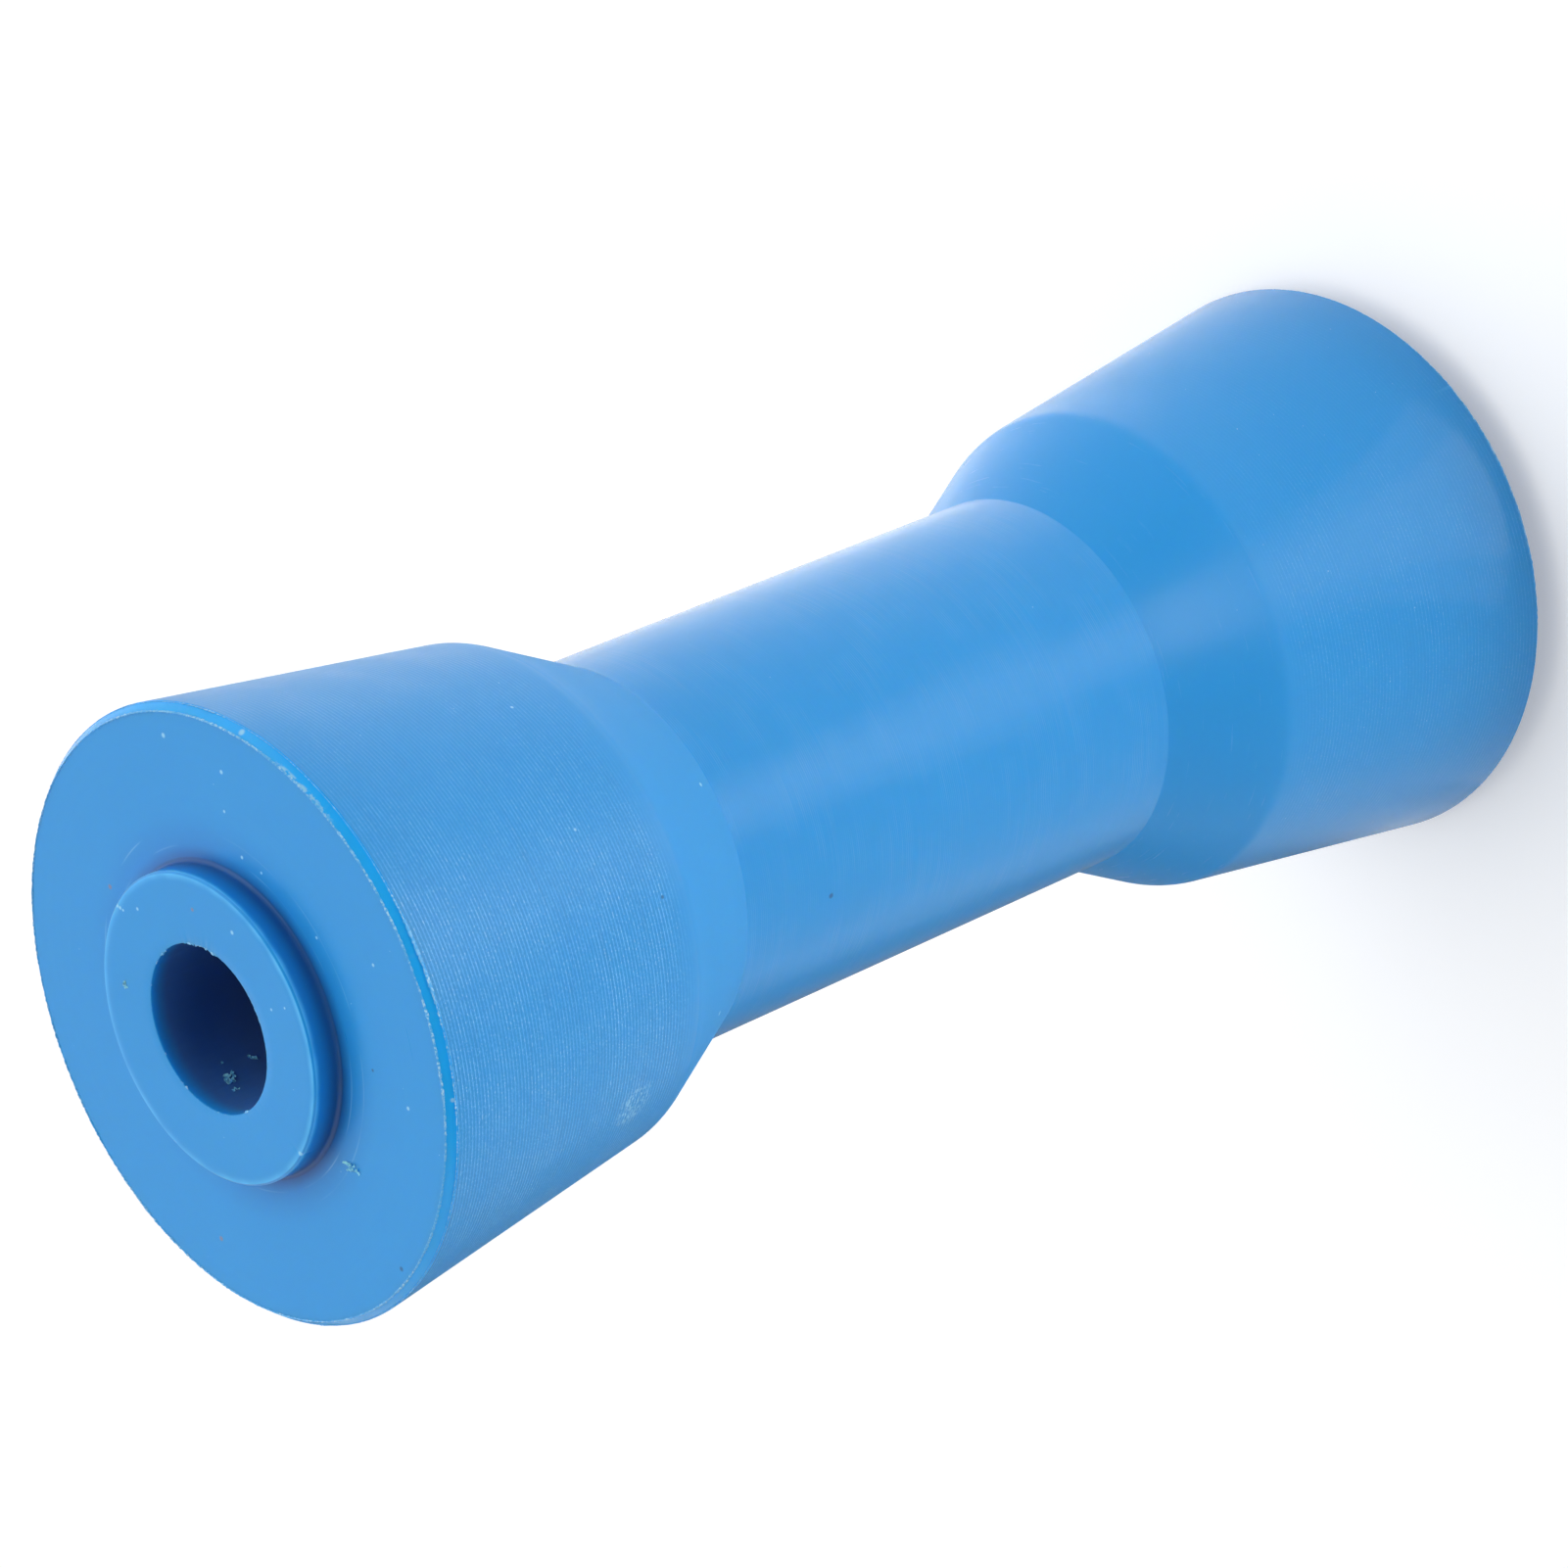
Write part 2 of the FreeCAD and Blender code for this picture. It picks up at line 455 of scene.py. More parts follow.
def roller_mesh(name, sizes):
    """Sweep the profile of both halves round the axis and nick its edges."""
    upper = half_profile(sizes)
    loop = [(ring, 1.0, ring.finish) for ring in upper]
    loop[-1] = (upper[-1], 1.0, upper[-2].finish)
    for index in range(len(upper) - 2, 0, -1):
        loop.append((upper[index], -1.0, upper[index - 1].finish))
    segments = sizes.segments
    vertices, faces, finishes, bruises_and_rim_highlight = [], [], [], []
    for row, (ring, side, finish) in enumerate(loop):
        here, there = row * segments, (row + 1) % len(loop) * segments
        for segment in range(segments):
            angle = 2 * math.pi * segment / segments
            out, along, bruise = ring_shift(ring, angle, side, sizes)
            height = side * min(ring.height + along, HALF)
            vertices.append(round_axis(ring.radius + out, angle, MIDDLE + height))
            bruises_and_rim_highlight.append(bruise)
            after = (segment + 1) % segments
            faces.append((here + segment, there + segment, there + after, here + after))
            finishes.append(FINISHES.index(finish))
    mesh = new_mesh(name, vertices, faces)
    mesh.polygons.foreach_set("material_index", finishes)
    mesh.polygons.foreach_set("use_smooth", [True] * len(faces))
    # the bruise attribute holds real wear on the broken edge and a painted highlight on the hub's lip
    mesh.attributes.new("bruise", "FLOAT", "POINT").data.foreach_set("value", bruises_and_rim_highlight)
    mesh.update()
    return mesh


# The burrs.

# torn places at a bore's mouth: angle, width, share
MOUTH_TEARS = (
    (33.0, 46.0, 1.0), (241.0, 9.0, 0.8), (347.0, 10.0, 0.8), (176.0, 7.0, 0.6), (90.0, 30.0, 0.3))


def crest_burr(angle, seed):
    """Section of the burr on an end face's outer edge: offsets outwards and along, in mm."""
    fine = ripple(angle, 0.28 * MM, seed) + 0.7 * ripple(angle, 0.62 * MM, seed + 7.3)
    slow = ripple(angle, 9.0 * MM, seed + 3.1)
    hook = window(angle, 102.0, 1.6) if seed == UPPER_SEED else 0.0
    bead = min(1.0, max(0.0, 0.34 + 0.62 * fine + 0.40 * slow)) + 0.8 * hook
    high = 0.04 + 0.15 * bead
    wide = 0.10 + 0.13 * bead
    lean = 0.07 * ripple(angle, 0.5 * MM, seed + 21.0) + 0.10 * hook
    return [(-wide, -0.04), (-0.6 * wide, 0.55 * high), (lean, high),
            (0.5 * wide + lean / 2, 0.45 * high - 0.4 * wide),
            (0.7 * wide, -0.8 * wide - 0.04), (-0.02, -0.2)]


def rim_burr(angle, seed):
    """Section of the chips on the rim's outer edge."""
    fine = ripple(angle, 0.30 * MM, seed + 1.7) + 0.6 * ripple(angle, 0.8 * MM, seed + 9.1)
    slow = ripple(angle, 11.0 * MM, seed + 6.0)
    upper = seed == UPPER_SEED
    torn = 0.9 * window(angle, 90.0, 44.0) if upper else 0.4 * window(angle, 300.0, 60.0)
    bead = min(1.0, max(0.0, -0.10 + 0.60 * fine + 0.50 * slow + torn))
    high = 0.14 * bead - 0.02
    wide = 0.07 + 0.13 * bead
    return [(-0.08, 2.2 * wide - 0.06), (-0.06 + high, 1.6 * wide - 0.06), (-0.08 + high, 0.3 * wide),
            (-0.10 + 0.6 * high, -wide), (-0.16, -1.6 * wide), (-0.30, 0.0)]


def mouth_burr(angle, seed):
    """Section of the torn flaps at the bore's mouth."""
    fine = ripple(angle, 0.24 * MM, seed + 2.2, BORE_RADIUS)
    fine += 0.7 * ripple(angle, 0.6 * MM, seed + 5.4, BORE_RADIUS)
    torn = max(share * min(1.0, 1.6 * window(angle, centre, width)) for centre, width, share in MOUTH_TEARS)
    bead = min(1.0, max(0.0, 0.15 + fine) * 1.5) * torn
    reach = 0.30 * bead - 0.04
    return [(0.16, -0.05), (0.08, 0.10 * bead - 0.03), (-reach, 0.01 * bead - 0.04),
            (-reach, -0.08 - 0.10 * bead), (0.02, -0.16), (0.18, -0.14)]


def burr_mesh(name, side, sizes):
    """The ragged rings of one end: the face's edge, the rim and the bore's mouth."""
    seed = UPPER_SEED if side > 0 else LOWER_SEED
    face = HALF - sizes.hub_height
    _, inner_rim, slant = broken_rim(sizes)
    rings = (
        (crest_burr, inner_rim, face, sizes.burr_segments),
        (rim_burr, RIM_RADIUS, face - slant, sizes.burr_segments),
        (mouth_burr, BORE_RADIUS, HALF - sizes.hub_dish, sizes.burr_segments // 3),
    )
    vertices, faces = [], []
    for section, radius, height, segments in rings:
        first = len(vertices)
        for segment in range(segments):
            angle = 2 * math.pi * segment / segments
            corners = section(angle, seed)
            for out, along in corners:
                reach = min(radius + out * MM, RIM_RADIUS)
                level = min(height + along * MM, HALF)
                vertices.append(round_axis(reach, angle, MIDDLE + side * level))
            count = len(corners)
            there = first + (segment + 1) % segments * count
            faces.extend(quads(first + segment * count, there, count, side < 0))
    return new_mesh(name, vertices, faces)


# The shavings.

# clumps of shavings; angle in degrees, the rest in mm, length and width from the clump's middle
Clump = namedtuple("Clump", "name angle radius height length width count rise surface")
CLUMPS = [
    Clump("face_shaving", 152.2, 23.8, 196.3, 1.20, 0.50, 10, 0.26, "end"),
    Clump("hub_shaving", 304.6, 15.2, 199.93, 0.50, 0.44, 9, 0.0, "end"),
    Clump("bore_shaving_a", 233.4, 10.5, 194.0, 1.00, 0.75, 11, 0.28, "bore"),
    Clump("bore_shaving_b", 240.7, 10.5, 189.7, 0.75, 0.55, 8, 0.24, "bore"),
    Clump("bore_shaving_c", 222.9, 10.5, 195.0, 0.50, 0.40, 5, 0.16, "bore"),
    Clump("bore_shaving_d", 246.5, 10.5, 193.8, 0.45, 0.32, 4, 0.12, "bore"),
]
FIRST_CLUMP_SEED = 40
CURL_STEPS = 9
CURL_THICKNESS = 0.06


def curl(start, heading, length, width, bend, rise, spread):
    """One curled shaving: rows of four corners along a bent ribbon, flat coordinates and height in mm."""
    rows = []
    centre, turn = Vector(start), heading
    for step in range(CURL_STEPS + 1):
        along = step / CURL_STEPS
        taper = 0.25 + 0.75 * math.sin(math.pi * (0.08 + 0.84 * along)) + spread.uniform(-0.18, 0.18)
        half = max(0.02, width * taper / 2)
        across = Vector((-math.sin(turn), math.cos(turn)))
        lift = rise * (2 * along - 1) ** 2 + spread.uniform(0.0, 0.2) * rise
        top = lift + CURL_THICKNESS
        tilt = 0.3 * rise * math.sin(3 * along + heading)
        left, right = centre + across * half, centre - across * half
        rows.append([(left.x, left.y, top + tilt), (right.x, right.y, top - tilt),
                     (right.x, right.y, lift - tilt), (left.x, left.y, lift + tilt)])
        centre += Vector((math.cos(turn), math.sin(turn))) * (length / CURL_STEPS)
        turn += bend / CURL_STEPS
    return rows


def shaving_mesh(clump, seed):
    """A clump of curled shavings on an end face or on the bore's wall."""
    spread = random.Random(seed)
    turn = math.radians(clump.angle)
    outwards = Vector(round_axis(1.0, turn, 0.0))
    around = Vector((-math.sin(turn), -math.cos(turn), 0.0))
    axis = Vector((0.0, 0.0, 1.0))
    flat_on_end = clump.surface == "end"
    along, across, up = (outwards, around, axis) if flat_on_end else (axis, around, -outwards)
    origin = outwards * clump.radius * MM + axis * clump.height * MM
    vertices, faces = [], []
    for _ in range(clump.count):
        distance, where = math.sqrt(spread.random()), spread.uniform(0.0, 2 * math.pi)
        start = (clump.length * 0.8 * distance * math.cos(where),
                 clump.width * 0.8 * distance * math.sin(where))
        heading = spread.choice((0.0, math.pi)) + spread.uniform(-0.9, 0.9)
        length = spread.uniform(0.35, 0.75) * clump.length
        width = spread.uniform(0.35, 0.75) * clump.width
        bend = spread.uniform(-2.2, 2.2)
        rise = clump.rise * spread.uniform(0.3, 1.0)
        base = len(vertices)
        for row in curl(start, heading, length, width, bend, rise, spread):
            for flat, wide, lift in row:
                sag = 0.0 if flat_on_end else wide * wide / (2 * clump.radius)
                vertices.append(origin + (along * flat + across * wide + up * (lift + sag)) * MM)
        last = base + 4 * CURL_STEPS
        for here in range(base, last, 4):
            faces.extend(quads(here, here + 4, 4))
        faces.append((base + 3, base + 2, base + 1, base))
        faces.append((last, last + 1, last + 2, last + 3))
    return new_mesh(clump.name, vertices, faces)


# The plastic.

# what the finishes lay over the blue
MOTTLE = (0.030, 0.350, 0.790)
DARK_SPECK = (0.01, 0.06, 0.2)
RUST_SPECK = (0.35, 0.20, 0.12)
BRUISE_AND_RIM_HIGHLIGHT = (0.12, 0.60, 1.0)
VALLEY_SHADE = (0.014, 0.230, 0.58)
GROOVE = (0.012, 0.220, 0.58)
CREST_FUZZ_AND_GLINT = (0.20, 0.60, 1.0)
RAGGED_PALE = (0.16, 0.56, 1.0)
RAGGED_DARK = (0.012, 0.210, 0.56)
SHOULDER_SHEEN = (0.050, 0.325, 0.720)
WAIST_STREAK_AND_GLINT = (0.30, 0.60, 0.88)
FACE_RING = (0.06, 0.38, 0.80)
HUB_SHADE = (0.014, 0.205, 0.60)
HUB_FOOT_SHADE = (0.014, 0.10, 0.36)
ROOT_CREASE_SHADE = (0.020, 0.060, 0.20)
HUB_SIDE_SHADE = (0.010, 0.190, 0.60)
HUB_LOW_SHADE = (0.012, 0.060, 0.24)
CUT_AND_GLOW = (0.018, 0.425, 1.0)
CHATTER = (0.10, 0.45, 0.90)
BORE_SHADE = (0.047, 0.165, 0.48)
BORE_DEEP = (0.115, 0.155, 0.26)
BURR = (0.060, 0.430, 0.880)
TORN_BURR = (0.54, 0.84, 1.0)
SHAVING = (0.34, 0.84, 0.95)

# how light spreads inside the plastic, for red, green and blue
GLOW_RADIUS = (0.25, 0.7, 1.5)

# heights of the upper hub's end and of the upper end face, in mm
HUB_TOP = 200.0
FACE_TOP = 196.3

PALE, DARK, RUST = "pale", "dark", "rust"

# marks on the upper end: angle, radius mm, height mm, size mm, kind
END_MARKS = [
    (27, 15.0, HUB_TOP, 0.28, RUST),
    (54, 15.5, HUB_TOP, 0.30, PALE),
    (93, 13.8, HUB_TOP, 0.22, PALE),
    (94, 16.5, HUB_TOP, 0.18, PALE),
    (347, 16.5, HUB_TOP, 0.25, PALE),
    (337.2, 18.9, HUB_TOP, 0.30, PALE),
    (337.8, 18.4, HUB_TOP, 0.26, PALE),
    (338.4, 17.9, HUB_TOP, 0.20, PALE),
    (155.6, 18.9, 199.9, 0.34, PALE),
    (16.5, 34.5, FACE_TOP, 0.35, PALE),
    (34, 31.8, FACE_TOP, 0.30, PALE),
    (34.5, 26.9, FACE_TOP, 0.22, PALE),
    (42, 22.3, FACE_TOP, 0.25, PALE),
    (51, 22.3, FACE_TOP, 0.20, PALE),
    (78, 23.0, FACE_TOP, 0.22, PALE),
    (91, 30.7, FACE_TOP, 0.24, PALE),
    (123, 31.1, FACE_TOP, 0.28, PALE),
    (117, 25.3, FACE_TOP, 0.22, DARK),
    (160, 36.0, FACE_TOP, 0.35, DARK),
    (221, 31.1, FACE_TOP, 0.35, RUST),
    (327, 23.8, FACE_TOP, 0.35, RUST),
]

# marks on the upper end's broken edge
CUT_MARKS = [
    (39, 37.9, 195.75, 0.45, PALE),
    (118, 38.1, 195.5, 0.30, PALE),
]

# marks on the barrel
BARREL_MARKS = [
    (52, 33.7, 161.3, 0.24, PALE),
    (82, 34.4, 165.3, 0.24, PALE),
    (101, 33.1, 156.3, 0.26, DARK),
    (81, 26.1, 139.3, 0.30, PALE),
    (140, 28.6, 144.3, 0.35, PALE),
    (125, 25.1, 123.3, 0.40, DARK),
]

# middle of the rubbed patch on the upper head: angle, radius mm, height mm
SCUFF = (144.0, 33.6, 162.5)

# radii of the two scratched rings on an end face, and where its noise has its full size
SCRATCHED_RINGS = (21.3 * MM, 23.4 * MM)
RINGS_RADIUS = 30 * MM


class Surface:
    """Coordinates and finish shared by every part of the roller's skin."""

    def __init__(self, name, looks, base=None):
        self.looks = looks
        self.material, self.graph = new_material(name)
        self.point = self.graph.coordinates("Object")
        self.x, self.y, self.z = self.graph.split(self.point)
        self.radius = (self.x * self.x + self.y * self.y).math("SQRT")
        self.turn = (self.y * -1.0).math("ARCTAN2", self.x) / (2 * math.pi)
        self.base = (*(base or looks.blue), 1.0)
        self.height = None

    def upper(self):
        """1 on the upper half and 0 on the lower one."""
        return self.z.band(MIDDLE - 10 * MM, MIDDLE + 10 * MM)

    def depth(self):
        """How far along the axis from the nearer end."""
        return HALF - (self.z - MIDDLE).math("ABSOLUTE")

    def away(self, angle, radius, height):
        """Distance from a point given by its angle in degrees, radius mm and height mm."""
        centre = round_axis(radius * MM, math.radians(angle), height * MM)
        return self.graph.compare("DISTANCE", self.point, centre)

    def cloud(self, place, detail, roughness):
        """Noise from 0 to 1 at a place."""
        return self.graph.value("ShaderNodeTexNoise", {"noise_dimensions": "3D"}, Vector=place,
                                Scale=1.0, Detail=detail, Roughness=roughness)

    def grain(self, around, along, detail=2.0, roughness=0.5):
        """Noise with bumps of these sizes round the roller and along it."""
        scale = (1 / around, 1 / around, 1 / along)
        place = self.graph.value("ShaderNodeVectorMath", {"operation": "MULTIPLY"}, self.point, scale)
        return self.cloud(place, detail, roughness)

    def rings(self, around, across, detail=2.0, roughness=0.5):
        """Noise on an end face, with bumps of these sizes round the axis and across it."""
        spread = RINGS_RADIUS / around
        place = self.graph.value("ShaderNodeCombineXYZ", None, self.x / self.radius * spread,
                                 self.y / self.radius * spread, self.radius / across)
        return self.cloud(place, detail, roughness)

    def specks(self, spacing, size, share):
        """Scattered round specks: how far apart, how large, and the share of places that have one."""
        cell = self.graph.node("ShaderNodeTexVoronoi", {"feature": "F1"}, Vector=self.point,
                               Scale=1 / spacing)
        distance = Value(self.graph, cell.outputs["Distance"])
        pick = self.graph.node("ShaderNodeSeparateColor", None, cell.outputs["Color"])
        chosen = Value(self.graph, pick.outputs[0]).math("LESS_THAN", share)
        spread = Value(self.graph, pick.outputs[1]) * 0.6 + 0.4
        return (spread * (size / spacing) - distance).band(0.0, 0.35 * size / spacing) * chosen

    def ridges(self, finer=1.0):
        """How near a place is to the crest between two turns of the tool: 0 in the valley, 1 on it."""
        phase = self.z / (self.looks.feed / finer) + self.turn
        return (phase.math("FRACT") - 0.5).math("ABSOLUTE") * 2.0

    def tint(self, factor, colour):
        """Lay a colour over the base where the factor says so."""
        self.base = self.graph.blend(factor, self.base, (*colour, 1.0))

    def whiten(self, colour):
        """Lay a colour over the places that are bruised in the mesh, and over the hub's lip, where it is a
        painted highlight.
        """
        bruised = self.graph.value("ShaderNodeAttribute", {"attribute_name": "bruise"}, output=2)
        self.tint(bruised.band(0.25, 0.85, 0.85), colour)

    def soften_edge(self, upper):
        """Painted sheen: pale the upper shoulder, and the head's last millimetres with it."""
        # painted sheen on the upper shoulder only
        self.tint(upper * self.depth().band(42.0 * MM, 54.0 * MM) * 0.7, SHOULDER_SHEEN)

    def scuff(self):
        """A rubbed patch near the shoulder of the upper head."""
        torn = self.grain(0.8 * MM, 0.45 * MM, 4.0, 0.7).band(0.48, 0.60)
        self.tint(self.away(*SCUFF).band(4.0 * MM, 1.4 * MM) * torn * 0.75, self.looks.bruise)

    def wear(self, dust):
        """Mottling, dust and whitened burrs, which every outer surface has, and the painted highlight on the
        hub's lip.
        """
        mottle = self.grain(18 * MM, 18 * MM, 3.0)
        self.tint(mottle.band(0.35, 0.75, 0.10), MOTTLE)
        self.tint(self.specks(2.1 * MM, 0.12 * MM, dust) * 0.55, self.looks.bruise)
        self.tint(self.specks(7.0 * MM, 0.16 * MM, 0.10) * 0.6, DARK_SPECK)
        self.whiten(BRUISE_AND_RIM_HIGHLIGHT)

    def marks(self, table):
        """The single marks of a table, one kind after the other."""
        kinds = ((PALE, self.looks.bruise, 0.8), (DARK, DARK_SPECK, 0.7), (RUST, RUST_SPECK, 0.6))
        for kind, colour, strength in kinds:
            mask = None
            for angle, radius, height, size, own_kind in table:
                if own_kind != kind:
                    continue
                near = self.away(angle, radius, height).band(size * MM * 1.2, size * MM * 0.45)
                mask = near if mask is None else mask.math("MAXIMUM", near)
            if mask is not None:
                self.tint(mask * strength, colour)

    def finish(self, roughness, level=None, glow=1.0):
        """Close the material with its shader."""
        graph, looks = self.graph, self.looks
        shader = graph.node(
            "ShaderNodeBsdfPrincipled", {"subsurface_method": "BURLEY"},
            Base_Color=self.base, Roughness=roughness, IOR=1.5,
            Specular_IOR_Level=looks.gloss_level if level is None else level,
            Subsurface_Weight=glow, Subsurface_Scale=looks.glow_depth, Subsurface_Radius=GLOW_RADIUS)
        if self.height is not None:
            bump = graph.node("ShaderNodeBump", None, Strength=1.0, Distance=MM, Height=self.height)
            graph.feed(shader.inputs["Normal"], bump.outputs[0])
        graph.node("ShaderNodeOutputMaterial", None, shader.outputs[0])
        return self.material


def head_finish(looks):
    """Coarse turning marks: sharp crests between round valleys, brighter in patches; the crests are partly
    whitened fuzz and partly painted glints, the valleys hold painted shade, and all the marks are strongest
    on the side that faces the front lamps.
    """
    skin = Surface("head_finish", looks)
    upper = skin.upper()
    fade = skin.depth().band(48.0 * MM, 43.0 * MM)
    degrees = skin.turn * 360.0
    # painted light: the marks are laid on strongest on the side that faces the front lamps, where their
    # highlight falls
    facing = degrees.band(52.0, 100.0, 0.76) * degrees.band(200.0, 150.0) + 0.24
    strength = fade * facing * (upper * 0.75 + 0.25)
    across = skin.ridges()
    line = across.band(0.66, 0.98)
    patch = skin.grain(9 * MM, 7 * MM).band(0.40, 0.66)
    dash = skin.grain(1.7 * MM, looks.feed * 0.9, 2.0, 0.6).band(0.36, 0.70)
    streak_and_glint = line * (patch * 0.5 + 0.5) * (dash * 0.7 + 0.3)
    # painted shade in the valleys between the crests
    low = (1.0 - across).band(0.35, 0.85) * 0.55
    skin.tint(low * strength, VALLEY_SHADE)
    groove = skin.grain(14 * MM, 1.3 * MM, 1.0).band(0.60, 0.74, 0.30)
    skin.tint(groove * strength, GROOVE)
    # the pale crests: partly whitened fuzz, partly painted glints
    skin.tint(streak_and_glint * strength * 0.85, CREST_FUZZ_AND_GLINT)
    ragged = skin.grain(0.30 * MM, 0.14 * MM, 1.0)
    skin.tint(ragged.band(0.56, 0.72) * strength * 0.30, RAGGED_PALE)
    skin.tint(ragged.band(0.44, 0.30) * strength * 0.35, RAGGED_DARK)
    dots = skin.grain(0.24 * MM, looks.feed * 0.45, 0.0).band(0.60, 0.72)
    skin.tint(dots * line * (patch * 0.6 + 0.4) * strength * 0.8, looks.bruise)
    skin.soften_edge(upper)
    skin.height = across * across * fade * (upper * 0.011 + 0.005)
    skin.scuff()
    skin.wear(0.5)
    skin.marks(BARREL_MARKS)
    return skin.finish(patch * -0.04 + upper * 0.18 + (looks.roughness - 0.03))


def waist_finish(looks):
    """Fine, smooth turning marks, whose pale streaks are partly whitened ridges and partly painted glints.
    """
    skin = Surface("waist_finish", looks)
    fine = skin.grain(14 * MM, 0.22 * MM, 3.0, 0.6)
    across = skin.ridges(1.8)
    patch = skin.grain(8 * MM, 7 * MM).band(0.38, 0.66)
    skin.height = fine * 0.006 + across * across * (patch * 0.003 + 0.001)
    # pale streaks on the crests: partly whitened ridges, partly painted glints
    streak_and_glint = across.band(0.45, 0.95) * (patch * 0.8 + 0.2) * fine.band(0.30, 0.70)
    skin.tint(streak_and_glint * 0.16, WAIST_STREAK_AND_GLINT)
    skin.wear(0.15)
    skin.marks(BARREL_MARKS)
    return skin.finish(fine * 0.08 + (looks.roughness - 0.11))


def shoulder_finish(looks):
    """A smooth cone with barely visible marks."""
    skin = Surface("shoulder_finish", looks)
    upper = skin.upper()
    fine = skin.grain(10 * MM, 0.3 * MM, 3.0, 0.6)
    skin.height = fine * 0.006
    skin.soften_edge(upper)
    skin.wear(0.3)
    skin.marks(BARREL_MARKS)
    away = skin.depth().band(45.0 * MM, 54.0 * MM)
    return skin.finish(upper * (away * 0.20 + 0.16) + fine * 0.08 + (looks.roughness - 0.02), level=0.26)


def face_finish(looks):
    """Faint rings left by facing the end, with a painted shadow of the hub and painted shade at its foot."""
    skin = Surface("face_finish", looks)
    fine = skin.rings(22 * MM, 0.30 * MM)
    broad = skin.rings(30 * MM, 1.6 * MM)
    close = skin.radius.band(30 * MM, 22 * MM)
    skin.height = fine * (close * 0.0010 + 0.0002) + broad * 0.0006
    skin.tint(broad.band(0.45, 0.8, 0.05), FACE_RING)
    # painted shadow of the hub on the face, then painted shade closer in and in the crease at its root
    skin.tint(skin.radius.band(HUB_RADIUS + 7.0 * MM, HUB_RADIUS, 0.60), HUB_SHADE)
    skin.tint(skin.radius.band(HUB_RADIUS + 2.4 * MM, HUB_RADIUS, 0.75), HUB_FOOT_SHADE)
    skin.tint(skin.radius.band(HUB_RADIUS + 0.70 * MM, HUB_RADIUS + 0.46 * MM) * 0.45, ROOT_CREASE_SHADE)
    for middle in SCRATCHED_RINGS:
        ring = (skin.radius - middle).math("ABSOLUTE").band(0.14 * MM, 0.03 * MM)
        arc = skin.rings(14 * MM, 3 * MM, 1.0).band(0.45, 0.7)
        skin.tint(ring * arc * 0.35, looks.bruise)
    skin.wear(0.3)
    skin.marks(END_MARKS)
    return skin.finish(fine * 0.02 + (looks.roughness + 0.03))


def hub_finish(looks):
    """The boss: a smooth end, and a side darkened with painted shade, most towards its foot."""
    skin = Surface("hub_finish", looks)
    depth = skin.depth()
    # painted shade down the boss's side, deepest at its foot
    skin.tint(depth.band(0.3 * MM, 1.2 * MM) * 0.55, HUB_SIDE_SHADE)
    skin.tint(depth.band(0.9 * MM, 3.4 * MM, 0.75), HUB_LOW_SHADE)
    skin.wear(0.2)
    skin.marks(END_MARKS)
    fine = skin.rings(16 * MM, 0.4 * MM)
    return skin.finish(fine * 0.02 + (looks.roughness + 0.03))


def burr_finish(looks):
    """Whitened plastic that the tool has torn."""
    skin = Surface("burr_finish", looks, BURR)
    torn = skin.grain(0.35 * MM, 0.35 * MM, 3.0)
    patch = skin.grain(5 * MM, 5 * MM).band(0.35, 0.60)
    skin.tint(torn.band(0.40, 0.66, 0.8) * (patch * 0.7 + 0.3), TORN_BURR)
    skin.height = torn * 0.02
    return skin.finish(0.45, glow=0.0)


def shaving_finish(looks):
    """Thin pale curls."""
    skin = Surface("shaving_finish", looks)
    thin = skin.grain(0.4 * MM, 0.4 * MM, 3.0)
    skin.tint(thin.band(0.30, 0.60, 0.80) + 0.2, SHAVING)
    skin.height = thin * 0.03
    return skin.finish(0.40, glow=0.0)


def cut_finish(looks):
    """The broken edge, cut clean through the skin, with one scraped place; its brighter blue is partly the
    fresh cut and partly a painted glow of light through the edge.
    """
    # the brighter blue base: partly the fresh cut, partly a painted glow
    skin = Surface("cut_finish", looks, CUT_AND_GLOW)
    chatter = skin.rings(1.1 * MM, 3.0 * MM)
    skin.height = chatter * 0.010
    skin.tint(chatter.band(0.6, 0.85, 0.15), CHATTER)
    degrees = skin.turn * 360.0
    ragged = skin.rings(0.7 * MM, 0.3 * MM).band(0.40, 0.55)
    scraped = degrees.band(48.0, 51.0) * degrees.band(66.0, 61.0) * skin.radius.band(37.8 * MM, 37.6 * MM)
    skin.tint(scraped * ragged * 0.75, looks.bruise)
    skin.marks(CUT_MARKS)
    skin.wear(0.1)
    return skin.finish(looks.roughness - 0.04, level=0.36)


def bore_finish(looks):
    """The drilled bore, out of the light."""
    skin = Surface("bore_finish", looks)
    spiral = skin.grain(9 * MM, 0.5 * MM, 3.0)
    skin.height = spiral * 0.006
    depth = skin.depth()
    skin.tint(depth.band(0.3 * MM, 2.7 * MM), BORE_SHADE)
    skin.tint(depth.band(4 * MM, 22 * MM, 0.7), BORE_DEEP)
    skin.whiten(looks.bruise)
    return skin.finish(0.40)


# the finishes in the order of the body's material slots, and their names as the profile gives them
MAKERS = (waist_finish, shoulder_finish, head_finish, cut_finish, face_finish, hub_finish, bore_finish)
FINISHES = [make.__name__ for make in MAKERS]


# The steps that build the roller.

class ROLLER_OT_turn_body(bpy.types.Operator):
    """Turn the roller's body and give it its plastic"""

    bl_idname = "roller.turn_body"
    bl_label = "Turn Body"

    def execute(self, context):
        mesh = roller_mesh("turned_body", context.scene.roller_sizes)
        for make in MAKERS:
            mesh.materials.append(make(context.scene.roller_finish))
        roller = new_object(context, "turned_body", mesh)
        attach(roller, BODY)
        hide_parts(NODE)
        return {"FINISHED"}


